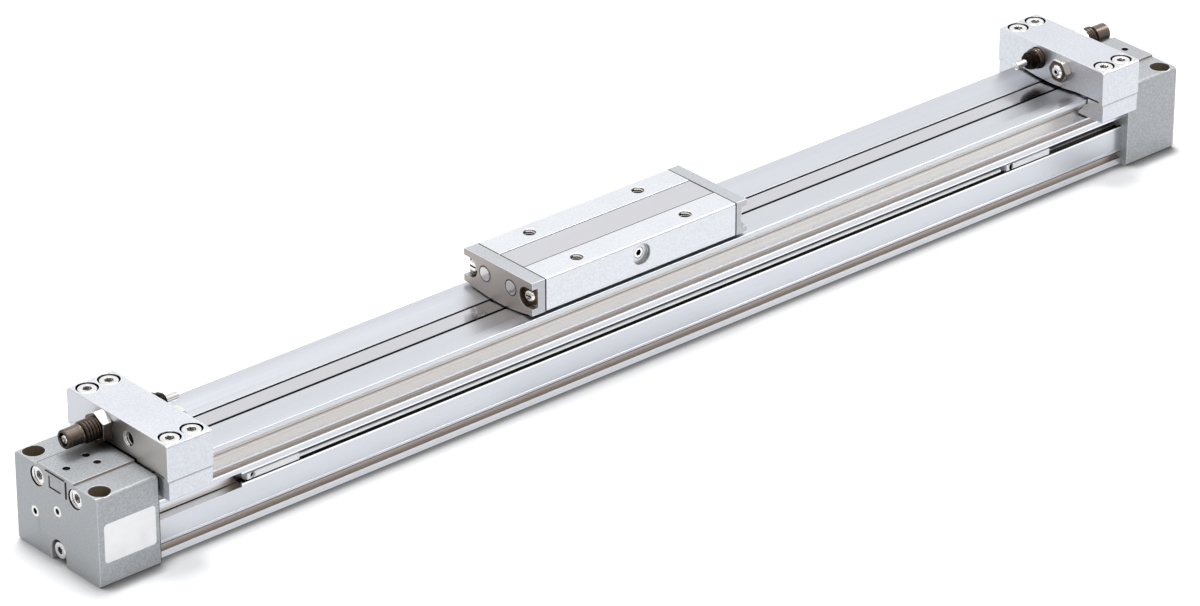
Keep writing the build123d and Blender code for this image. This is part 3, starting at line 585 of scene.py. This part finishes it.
finishes = {
    "tube": drawn_aluminium("tube satin anodised extrusion", TUBE_COLOUR, 0.30),
    "cover": blasted_aluminium("cover blasted die casting", CASTING_COLOUR, 0.5, 0.55, cover_details),
    "block": blasted_aluminium(
        "block fine blasted aluminium", BLOCK_COLOUR, 0.36, 1.0, block_details, 0.015, 0.08, 26.6),
    "table": blasted_aluminium(
        "table fine blasted aluminium", TABLE_COLOUR, 0.36, 1.0, table_details, 0.012, 0.07, 17.7),
    "end plate": blasted_aluminium(
        "end plate silver grey", PLATE_COLOUR, 0.42, 0.9, plate_details, 0.012, 0.08, 17.7),
    "machined": turned_steel("yoke machined aluminium", linear(205, 206, 208), 0.35),
    "screw": turned_steel("screw nickel plated steel", linear(240, 239, 238), 0.16, 1.7, 0.85),
    "bright screw": turned_steel("screw bright chrome", linear(248, 247, 246), 0.1, 2.0, 0.85),
    "nut": nickel_nut("nut nickel plated"),
    "dark screw": turned_steel("screw black oxide", linear(64, 58, 54), 0.3),
    "hole thread": turned_steel("thread cut in aluminium", linear(224, 222, 219), 0.22),
    "pin": turned_steel("stop pin ground steel", linear(214, 211, 210), 0.16),
    "rod": turned_steel("plunger hard chrome", linear(228, 227, 226), 0.12),
    # The absorber's light and dark colours are its oxide as painted light and painted shade
    "absorber": brown_oxide(
        "absorber brown oxide", linear(122, 111, 103), linear(34, 27, 23), 0.28, 0.4, 1.0),
    "thread crest": brown_oxide(
        "absorber thread crest", linear(100, 88, 80), linear(30, 24, 20), 0.3, 0.2, 0.0),
    "band": rolled_strip("dust band rolled stainless", linear(211, 211, 216), 0.15),
    "strip": rolled_strip("table strip brushed stainless", linear(206, 206, 211), 0.32),
    "bearing": moulded("bearing dark resin", linear(70, 70, 70), 0.45),
    "piston": moulded("piston dark resin", linear(62, 62, 64), 0.45),
    "belt": moulded("seal belt polyurethane", linear(190, 180, 160), 0.4, 0.006, 0.2),
    "rubber": moulded("seal black rubber", linear(34, 34, 34), 0.55),
    "sensor": moulded("sensor pale resin", linear(226, 228, 231), 0.4, 0.006, 0.15),
    "lead": moulded("lead grey vinyl", linear(238, 240, 242), 0.38, 0.004, 0.3),
    "magnet": moulded("magnet strip dark", linear(58, 58, 60), 0.6),
    "label": moulded("label white vinyl", linear(246, 247, 248), 0.35, 0.002, 0.3),
}


# Shapes

def added(name, shape, finish, body, replaces=()):
    """Makes a piece of a shape, hangs it on the body that carries it and hides the CAD nodes it stands
    for.
    """
    mesh = bpy.data.meshes.new(name)
    shape.to_mesh(mesh)
    shape.free()
    mesh.materials.append(finishes[finish])
    piece = bpy.data.objects.new(name, mesh)
    bpy.context.scene.collection.objects.link(piece)
    if body:
        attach(piece, body)
    if replaces:
        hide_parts(*replaces)
    return piece


def softened(piece, edge_mm, limit):
    """Breaks the sharp edges of a piece by so many millimetres and evens its shading."""
    if edge_mm:
        bevel = piece.modifiers.new("broken edges", "BEVEL")
        bevel.width = edge_mm * MM
        bevel.segments = 2
        bevel.limit_method = limit
        bevel.angle_limit = SHARP
        bevel.use_clamp_overlap = False
        bevel.loop_slide = False
    even = piece.modifiers.new("even shading", "WEIGHTED_NORMAL")
    even.keep_sharp = True
    return piece


def cad_shape(node):
    """The node's mesh as one closed shell with its flat faces whole."""
    mesh = cad_nodes[node].data.copy()
    own = mesh.attributes.get("custom_normal")
    if own:
        mesh.attributes.remove(own)
    shape = bmesh.new()
    shape.from_mesh(mesh)
    bpy.data.meshes.remove(mesh)
    bmesh.ops.remove_doubles(shape, verts=shape.verts, dist=2e-6)
    bmesh.ops.dissolve_limit(
        shape, angle_limit=FLAT, verts=shape.verts, edges=shape.edges, delimit={"NORMAL"})
    return shape


def cut_through_holes(shape, places):
    """Splits the flat faces straight through their holes, so that no slanting edge meets a bevel."""
    for y in places:
        whole = list(shape.verts) + list(shape.edges) + list(shape.faces)
        bmesh.ops.bisect_plane(
            shape, geom=whole, dist=1e-7, plane_co=(0, y * MM, 0), plane_no=(0, 1, 0))
    slanting = []
    for edge in shape.edges:
        on_cut = any(all(abs(v.co.y - y * MM) < 1e-6 for v in edge.verts) for y in places)
        if edge.is_manifold and not on_cut and edge.calc_face_angle(1) < FLAT:
            slanting.append(edge)
    bmesh.ops.dissolve_edges(shape, edges=slanting, use_verts=False)


def weigh_edges(shape):
    """Marks a block's edges for the bevel. The rims on its top stay sharp, as they touch its chamfers."""
    ends = min(v.co.x for v in shape.verts), max(v.co.x for v in shape.verts)
    top = max(v.co.z for v in shape.verts)
    weight = shape.edges.layers.float.new("bevel_weight_edge")
    for edge in shape.edges:
        if not edge.is_manifold or edge.calc_face_angle(0) < SHARP:
            continue
        on_top = all(top - v.co.z < 1e-5 for v in edge.verts)
        on_end = any(all(abs(v.co.x - end) < 1e-5 for v in edge.verts) for end in ends)
        if on_top and not on_end:
            edge.smooth = False
        else:
            edge[weight] = 1.0


def smoothed(shape):
    """Smooth faces with sharp edges kept, for a shape that takes no bevel."""
    for face in shape.faces:
        face.smooth = True
    for edge in shape.edges:
        if edge.is_manifold and edge.calc_face_angle(0) > SHARP:
            edge.smooth = False
    return shape


body_of = {node: body for body, group in frame["record"]["behaviour"]["bodies"].items() for node in group}


def dressed(node, finish, edge_mm, change=None, holes_at=(), limit="ANGLE"):
    """A finished piece that stands for a CAD node, with its edges broken as the real one's are."""
    shape = cad_shape(node)
    if change:
        change(shape)
    if holes_at:
        cut_through_holes(shape, holes_at)
    for face in shape.faces:
        face.smooth = True
    if not edge_mm:
        smoothed(shape)
    if limit == "WEIGHT":
        weigh_edges(shape)
    piece = added(node + "_finished", shape, finish, body_of[node], [node])
    return softened(piece, edge_mm, limit)


def block(x0, x1, y0, y1, z0, z1):
    """A plain box between two corners in millimetres."""
    shape = bmesh.new()
    bmesh.ops.create_cube(shape, size=1)
    size = Vector((x1 - x0, y1 - y0, z1 - z0)) * MM
    middle = Vector((x0 + x1, y0 + y1, z0 + z1)) * MM / 2
    bmesh.ops.scale(shape, vec=size, verts=shape.verts)
    bmesh.ops.translate(shape, vec=middle, verts=shape.verts)
    return shape


def turn_to(shape, axis):
    """Turns a shape that was made round Z so that it runs along axis."""
    turn = Vector((0, 0, 1)).rotation_difference(Vector(axis)).to_matrix()
    bmesh.ops.rotate(shape, cent=(0, 0, 0), matrix=turn, verts=shape.verts)


def thread_ridge(start, axis, length, pitch, root_r, crest_r):
    """One helical ridge along axis from start, all in millimetres. It fades into the root at both ends."""
    steps = 28
    shape = bmesh.new()
    side = pitch * 0.44
    sink = 0.05 if crest_r > root_r else -0.05
    crest = side * 0.16
    profile = [(root_r - sink, -side), (crest_r, -crest), (crest_r, crest), (root_r - sink, side)]
    points = [shape.verts.new((r * MM, 0, z * MM)) for r, z in profile]
    for first, second in zip(points, points[1:]):
        shape.edges.new((first, second))
    turns = (length - 2 * side) / pitch
    count = int(turns * steps)
    bmesh.ops.spin(
        shape, geom=list(shape.verts) + list(shape.edges), cent=(0, 0, 0), axis=(0, 0, 1),
        dvec=(0, 0, pitch * MM / steps), angle=math.tau * count / steps, steps=count,
        use_duplicate=False,
    )
    low = min(v.co.z for v in shape.verts)
    high = max(v.co.z for v in shape.verts)
    fade = pitch * MM * 0.5
    for v in shape.verts:
        r = math.hypot(v.co.x, v.co.y)
        if abs(r - crest_r * MM) < 1e-6:
            turn_z = pitch * MM * (math.atan2(v.co.y, v.co.x) % math.tau) / math.tau
            part = min(1, (v.co.z - low) / fade, (high - v.co.z) / fade)
            goal = (root_r + (crest_r - root_r) * max(part, 0)) * MM
            v.co.x *= goal / r
            v.co.y *= goal / r
    bmesh.ops.translate(shape, vec=(0, 0, side * MM), verts=shape.verts)
    turn_to(shape, axis)
    bmesh.ops.translate(shape, vec=Vector(start) * MM, verts=shape.verts)
    for face in shape.faces:
        face.smooth = True
    return shape


def joined(*shapes):
    """Several shapes as one."""
    whole = bmesh.new()
    for shape in shapes:
        mesh = bpy.data.meshes.new("part of a group")
        shape.to_mesh(mesh)
        shape.free()
        whole.from_mesh(mesh)
        bpy.data.meshes.remove(mesh)
    return whole


# Castings, extrusion, blocks and table

def sunk_screw(shape):
    """Sinks the clamp screw's head deep into the sensor's hole."""
    front = [v for v in shape.verts if v.co.y < -18.0 * MM]
    bmesh.ops.translate(shape, vec=(0, 0.9 * MM, 0), verts=front)


def cover_screw_heads(shape):
    """Sinks the heads of the cover's two upper screws in their pockets and makes them a little smaller."""
    face = max(abs(v.co.x) for v in shape.verts)
    for way in (-1, 1):
        own = [v for v in shape.verts if v.co.x * way > 0]
        heads = [v for v in own if face - abs(v.co.x) < 0.1 * MM]
        bmesh.ops.translate(shape, vec=(-way * 0.75 * MM, 0, 0), verts=heads)
        for y in (-COVER_SCREW_Y, COVER_SCREW_Y):
            axis = Vector((0, y, COVER_SCREW_Z)) * MM
            far = [(v, math.hypot(v.co.y - axis.y, v.co.z - axis.z)) for v in heads]
            rim = [v for v, r in far if 3.0 * MM < r < 4.0 * MM]
            bmesh.ops.scale(shape, vec=(1, 0.93, 0.93), space=Matrix.Translation(-axis), verts=rim)


def block_screw_sockets(shape):
    """Raises the floors of the block screws' sockets, which are 2.2 mm deep in the CAD."""
    face = max(v.co.z for v in shape.verts)
    floors = [v for v in shape.verts if abs(face - v.co.z - 2.2 * MM) < 0.05 * MM]
    bmesh.ops.translate(shape, vec=(0, 0, 0.7 * MM), verts=floors)


# Where the cover's holes lie across it, in millimetres
COVER_HOLES = (-18, -10.4, -3.05, 0, 3.05, 10.4, 18)

# Node, finish and how far its edges are broken, in millimetres
FIXED_PARTS = (
    ("cylinder_tube", "tube", 0.12),
    ("slide_table", "table", 0.3),
    ("table_top_strip", "strip", 0.06),
    ("left_table_end_plate", "end plate", 0.2),
    ("right_table_end_plate", "end plate", 0.2),
    ("table_end_plate_screws", "bright screw", 0.12),
    ("table_stop_pins", "pin", 0.25),
    ("table_side_screws", "bright screw", 0.15),
    ("table_bearing_strips", "bearing", 0.1),
)
# The same for the parts that each side has
SIDE_PARTS = (
    ("end_cover", "cover", 0.2),
    ("cover_screws", "screw", 0.15),
    ("port_plugs", "screw", 0.15),
    ("cushion_needle", "dark screw", 0.1),
    ("belt_clamp_screws", "dark screw", 0.1),
    ("stopper_block", "block", 0.25),
    ("clamp_plates", "block", 0.2),
    ("stopper_block_screws", "screw", 0.15),
    ("absorber_lock_nut", "nut", 0.12),
    ("absorber_rod", "rod", 0.1),
    ("adjusting_bolt", "bright screw", 0.12),
    ("adjusting_bolt_nut", "nut", 0.12),
    ("tube_gasket", "rubber", 0.0),
    ("sensor", "sensor", 0.15),
    # The sensor's screw, sunk deep, is black to stand for the shade in its hole
    ("sensor_screw", "dark screw", 0.08),
)
# What some of them need as well
ALSO = {
    "end_cover": {"holes_at": COVER_HOLES},
    "cover_screws": {"change": cover_screw_heads},
    "stopper_block": {"limit": "WEIGHT"},
    "stopper_block_screws": {"change": block_screw_sockets},
    "sensor_screw": {"change": sunk_screw},
}

for node, finish, edge_mm in FIXED_PARTS:
    dressed(node, finish, edge_mm)
for side in SIDES:
    for part, finish, edge_mm in SIDE_PARTS:
        dressed(f"{side}_{part}", finish, edge_mm, **ALSO.get(part, {}))
dressed("left_sensor_lead", "lead", 0.2)


# Shock absorbers

# Radii of the thread and length of the rear cap, in millimetres
ABSORBER_ROOT = 3.42
ABSORBER_CREST = 4.0
CAP_LENGTH = 1.3


def thread_root(shape):
    """Turns the absorber's threaded length down to the thread's root, and makes room for its rear cap."""
    for v in shape.verts:
        if abs(v.co.x) > (ABSORBER_REAR - 0.1) * MM:
            v.co.x -= math.copysign(CAP_LENGTH * MM, v.co.x)
        y = v.co.y - ABSORBER_Y * MM
        z = v.co.z - STOP_Z * MM
        r = math.hypot(y, z)
        if r > 3.7 * MM:
            v.co.y = ABSORBER_Y * MM + y * ABSORBER_ROOT * MM / r
            v.co.z = STOP_Z * MM + z * ABSORBER_ROOT * MM / r


def turned(profile):
    """A solid of revolution round Z. The profile is radius and height in millimetres."""
    shape = bmesh.new()
    points = [shape.verts.new((r * MM, 0, z * MM)) for r, z in profile]
    edges = [shape.edges.new(pair) for pair in zip(points, points[1:])]
    bmesh.ops.spin(
        shape, geom=points + edges, cent=(0, 0, 0), axis=(0, 0, 1), angle=math.tau, steps=48,
        use_merge=True, use_duplicate=False)
    bmesh.ops.remove_doubles(shape, verts=shape.verts, dist=1e-7)
    bmesh.ops.recalc_face_normals(shape, faces=shape.faces)
    return smoothed(shape)


def absorber_rear(side, way):
    """The hollow rear end with the adjusting screw in it."""
    foot = -CAP_LENGTH
    rim = [(0, foot), (3.4, foot), (3.4, -0.3), (3.1, 0), (2.5, 0), (2.3, -1.0), (0, -1.0)]
    head = [(0, -0.98), (1.5, -0.98), (1.5, -0.45), (1.25, -0.2), (0.7, -0.2), (0.5, -0.6), (0, -0.6)]
    parts = (("rear_cap", rim, "absorber"), ("adjusting_screw", head, "bright screw"))
    for name, profile, finish in parts:
        shape = turned(profile)
        turn_to(shape, (way, 0, 0))
        place = Vector((way * ABSORBER_REAR, ABSORBER_Y, STOP_Z)) * MM
        bmesh.ops.translate(shape, vec=place, verts=shape.verts)
        added(f"{side}_absorber_{name}", shape, finish, side + "_absorber")


def absorber(side, way):
    """The body with its thread. way is the sign of X on its side."""
    dressed(side + "_absorber_body", "absorber", 0.15, thread_root)
    absorber_rear(side, way)
    start = (way * (ABSORBER_REAR - 6.4), ABSORBER_Y, STOP_Z)
    ridge = thread_ridge(start, (-way, 0, 0), 31.8, 1.25, ABSORBER_ROOT, ABSORBER_CREST)
    added(side + "_absorber_thread", ridge, "thread crest", side + "_absorber")


absorber("left", -1)
absorber("right", 1)


# Threads in the open holes of the table and the blocks

def hole_threads():
    holes = []
    for x in (TABLE_MIDDLE - 25, TABLE_MIDDLE + 25):
        for y in (-12.5, 12.5):
            holes.append(thread_ridge((x, y, 45.6), (0, 0, -1), 7.0, 0.8, 2.12, 1.78))
    added("table_hole_threads", joined(*holes), "hole thread", "table")
    for side, way in (("left", -1), ("right", 1)):
        start = (way * (COVER_FACE - 25.5), BOLT_Y, STOP_Z)
        ridge = thread_ridge(start, (-way, 0, 0), 2.2, 0.8, 2.57, 2.15)
        added(side + "_bolt_hole_thread", ridge, "hole thread", "cylinder")


hole_threads()


# Belts: each half of a belt runs from the table's middle into its cover

# The belt's length inside a cover, and from the table's middle to where its flat part starts
CLAMPED_LENGTH = 11.5
TABLE_REACH = 51.5


def belt_half(name, way, flat_z, turn_z, inner, outer, half_width, thickness, finish, node):
    """Half a belt from the table's middle to a cover, as one fixed shape.

    It lies at flat_z along the slot and bends to turn_z between the inner and outer distances from the
    table's middle. way is the sign of X on its side.
    """
    shape = bmesh.new()
    corners = [(-half_width, 0), (half_width, 0), (half_width, thickness), (-half_width, thickness)]
    path = [(0.0, turn_z)]
    steps = 16
    for step in range(steps + 1):
        t = step / steps
        rise = (1 + math.cos(math.pi * t)) / 2
        path.append((inner + (outer - inner) * t, flat_z + (turn_z - flat_z) * rise))
    clamped_end = COVER_FACE - COVER_LENGTH + CLAMPED_LENGTH
    path += [(TABLE_REACH + 0.1, flat_z), (clamped_end - TABLE_MIDDLE * way, flat_z)]
    x = TABLE_MIDDLE
    ring_points = [shape.verts.new((x * MM, y * MM, (path[0][1] + z) * MM)) for y, z in corners]
    ring = [shape.edges.new((ring_points[i], ring_points[(i + 1) % 4])) for i in range(4)]
    first = list(ring)
    for (x0, z0), (x1, z1) in zip(path, path[1:]):
        grown = bmesh.ops.extrude_edge_only(shape, edges=ring)["geom"]
        points = [g for g in grown if isinstance(g, bmesh.types.BMVert)]
        ring = [g for g in grown if isinstance(g, bmesh.types.BMEdge)]
        bmesh.ops.translate(shape, vec=Vector((way * (x1 - x0), 0, z1 - z0)) * MM, verts=points)
    bmesh.ops.holes_fill(shape, edges=first + ring, sides=4)
    bmesh.ops.recalc_face_normals(shape, faces=shape.faces)
    smoothed(shape)
    piece = added(name, shape, finish, None, [node])
    if way < 0:
        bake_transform(piece)
    else:
        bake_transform(piece)


for side, way in (("left", -1), ("right", 1)):
    belt_half(
        side + "_dust_band", way, flat_z=31.05, turn_z=41.4, inner=22.0, outer=47.0,
        half_width=3.75, thickness=0.25, finish="band", node="dust_seal_band")
    belt_half(
        side + "_seal_belt", way, flat_z=27.42, turn_z=22.4, inner=22.0, outer=43.0,
        half_width=3.5, thickness=1.0, finish="belt", node="seal_belt")


# Label, bare of any words

def label():
    shape = block(-247.6, -226.8, -22.56, -22.5, 8.5, 22.9)
    upright = [e for e in shape.edges if abs(e.verts[0].co.y - e.verts[1].co.y) > 1e-5]
    bmesh.ops.bevel(
        shape, geom=upright, offset=1.3 * MM, offset_type="OFFSET", segments=6, profile=0.5,
        affect="EDGES", material=-1, clamp_overlap=True)
    smoothed(shape)
    added("nameplate_blank", shape, "label", "cylinder")


label()


# Finishes for the inner pieces, which stay as the CAD made them

inner_finish = {
    "belt_magnet_strips": "magnet", "belt_separators": "bearing",
    "piston_yoke": "machined", "coupling_pins": "pin",
    "left_piston": "piston", "right_piston": "piston", "piston_screws": "screw",
    "piston_seals": "rubber", "piston_wear_rings": "bearing", "piston_magnets": "magnet",
    "left_cushion_boss": "machined", "right_cushion_boss": "machined",
    "left_belt_clamp": "machined", "right_belt_clamp": "machined",
}
for node, finish in inner_finish.items():
    mesh = cad_nodes[node].data
    mesh.materials.clear()
    mesh.materials.append(finishes[finish])


# Studio

def floor():
    """White paper under the part, with a faint glow of its own. The camera sees a painted shadow on it
    only close to the part, strongest in front of it.
    """
    shape = bmesh.new()
    bmesh.ops.create_grid(shape, x_segments=1, y_segments=1, size=6)
    mesh = bpy.data.meshes.new("studio_floor")
    shape.to_mesh(mesh)
    shape.free()
    piece = bpy.data.objects.new("studio_floor", mesh)
    bpy.context.scene.collection.objects.link(piece)
    paper = Finish("pale studio paper", 0.9, 0.0)
    tone = paper.noise(90, detail=2)
    toward_far_side = paper.node("ShaderNodeCombineXYZ", None, {0: 0.0, 1: 0.87, 2: 0.5})
    values = {"Distance": 6.6 * MM, "Normal": toward_far_side}
    open_part = paper.node("ShaderNodeAmbientOcclusion", {"samples": 16}, values, "AO")
    pale = paper.mixed(tone, linear(244, 244, 245), linear(247, 247, 248))
    seen = paper.node("ShaderNodeLightPath", out="Is Camera Ray")
    shade = (1 - open_part.between(0.25, 0.97)) * seen
    paper.colours(paper.mixed(shade, pale, linear(112, 110, 110)))
    paper.shader.inputs["Emission Color"].default_value = (1, 1, 1, 1)
    mirrored = paper.node("ShaderNodeLightPath", out="Is Glossy Ray")
    paper.put(paper.shader.inputs["Emission Strength"], mirrored * 0.05 + (seen - shade) * 0.22)
    mesh.materials.append(paper.material)


def flag():
    """A grey curtain at the left and in front, seen only in the metal's reflections."""
    shape = bmesh.new()
    low = shape.verts.new((2.4, 0, 0.02))
    high = shape.verts.new((2.4, 0, 1.45))
    shape.edges.new((low, high))
    first_turn = Matrix.Rotation(math.radians(112), 3, "Z")
    bmesh.ops.rotate(shape, cent=(0, 0, 0), matrix=first_turn, verts=shape.verts)
    bmesh.ops.spin(
        shape, geom=list(shape.verts) + list(shape.edges), cent=(0, 0, 0), axis=(0, 0, 1),
        angle=math.radians(200), steps=40, use_duplicate=False)
    mesh = bpy.data.meshes.new("studio_flag")
    shape.to_mesh(mesh)
    shape.free()
    piece = bpy.data.objects.new("studio_flag", mesh)
    bpy.context.scene.collection.objects.link(piece)
    card = bpy.data.materials.new("dark studio curtain")
    card.use_nodes = True
    tree = card.node_tree
    tree.nodes.clear()
    light = tree.nodes.new("ShaderNodeEmission")
    light.inputs["Color"].default_value = (0.6, 0.55, 0.51, 1)
    end = tree.nodes.new("ShaderNodeOutputMaterial")
    tree.links.new(light.outputs[0], end.inputs["Surface"])
    mesh.materials.append(card)
    piece.visible_camera = False
    piece.visible_diffuse = False
    piece.visible_shadow = False


def world():
    """White where the camera or a reflection sees it, a plain grey light for everything else."""
    made = bpy.data.worlds.new("white studio")
    bpy.context.scene.world = made
    made.use_nodes = True
    tree = made.node_tree
    tree.nodes.clear()
    path = tree.nodes.new("ShaderNodeLightPath")
    both = tree.nodes.new("ShaderNodeMath")
    both.operation = "ADD"
    tree.links.new(path.outputs["Is Camera Ray"], both.inputs[0])
    tree.links.new(path.outputs["Is Glossy Ray"], both.inputs[1])
    seen = tree.nodes.new("ShaderNodeMath")
    seen.operation = "ADD"
    seen.use_clamp = True
    tree.links.new(both.outputs[0], seen.inputs[0])
    tree.links.new(path.outputs["Is Transmission Ray"], seen.inputs[1])
    around = tree.nodes.new("ShaderNodeBackground")
    around.inputs["Color"].default_value = (0.96, 0.98, 1, 1)
    around.inputs["Strength"].default_value = 0.38
    white = tree.nodes.new("ShaderNodeBackground")
    white.inputs["Color"].default_value = (1, 1, 1, 1)
    white.inputs["Strength"].default_value = 1.0
    mix = tree.nodes.new("ShaderNodeMixShader")
    tree.links.new(seen.outputs[0], mix.inputs[0])
    tree.links.new(around.outputs[0], mix.inputs[1])
    tree.links.new(white.outputs[0], mix.inputs[2])
    end = tree.nodes.new("ShaderNodeOutputWorld")
    tree.links.new(mix.outputs[0], end.inputs["Surface"])


def lamp(name, place, size, power):
    """A round soft lamp that looks at the part."""
    data = bpy.data.lights.new(name, "AREA")
    data.shape = "DISK"
    data.size = size
    data.energy = power
    made = bpy.data.objects.new(name, data)
    bpy.context.scene.collection.objects.link(made)
    made.location = place
    made.rotation_euler = (-Vector(place)).to_track_quat("-Z", "Y").to_euler()
    return made


def camera():
    """The photograph's camera, from a fit of its points."""
    data = bpy.data.cameras.new("photo_camera")
    data.sensor_width = 36
    data.lens = 174.292
    made = bpy.data.objects.new("photo_camera", data)
    bpy.context.scene.collection.objects.link(made)
    right = (0.754301563, -0.656527565, -0.000841860)
    up = (0.303320222, 0.347354671, 0.887322701)
    back = (-0.582259388, -0.669564254, 0.461148258)
    place = (-1.19869, -1.36088, 0.95308)
    made.matrix_world = Matrix([[right[i], up[i], back[i], place[i]] for i in range(3)] + [[0, 0, 0, 1]])
    bpy.context.scene.camera = made


floor()
flag()
world()
lamp("soft_key", (0.25, 0.55, 2.4), 0.9, 36)
lamp("front_fill", (-0.4, -2.2, 1.4), 1.6, 18).visible_glossy = False
lamp("edge_light", (1.6, -0.3, 1.9), 0.9, 10)
camera()
bpy.context.scene.view_settings.view_transform = "Standard"
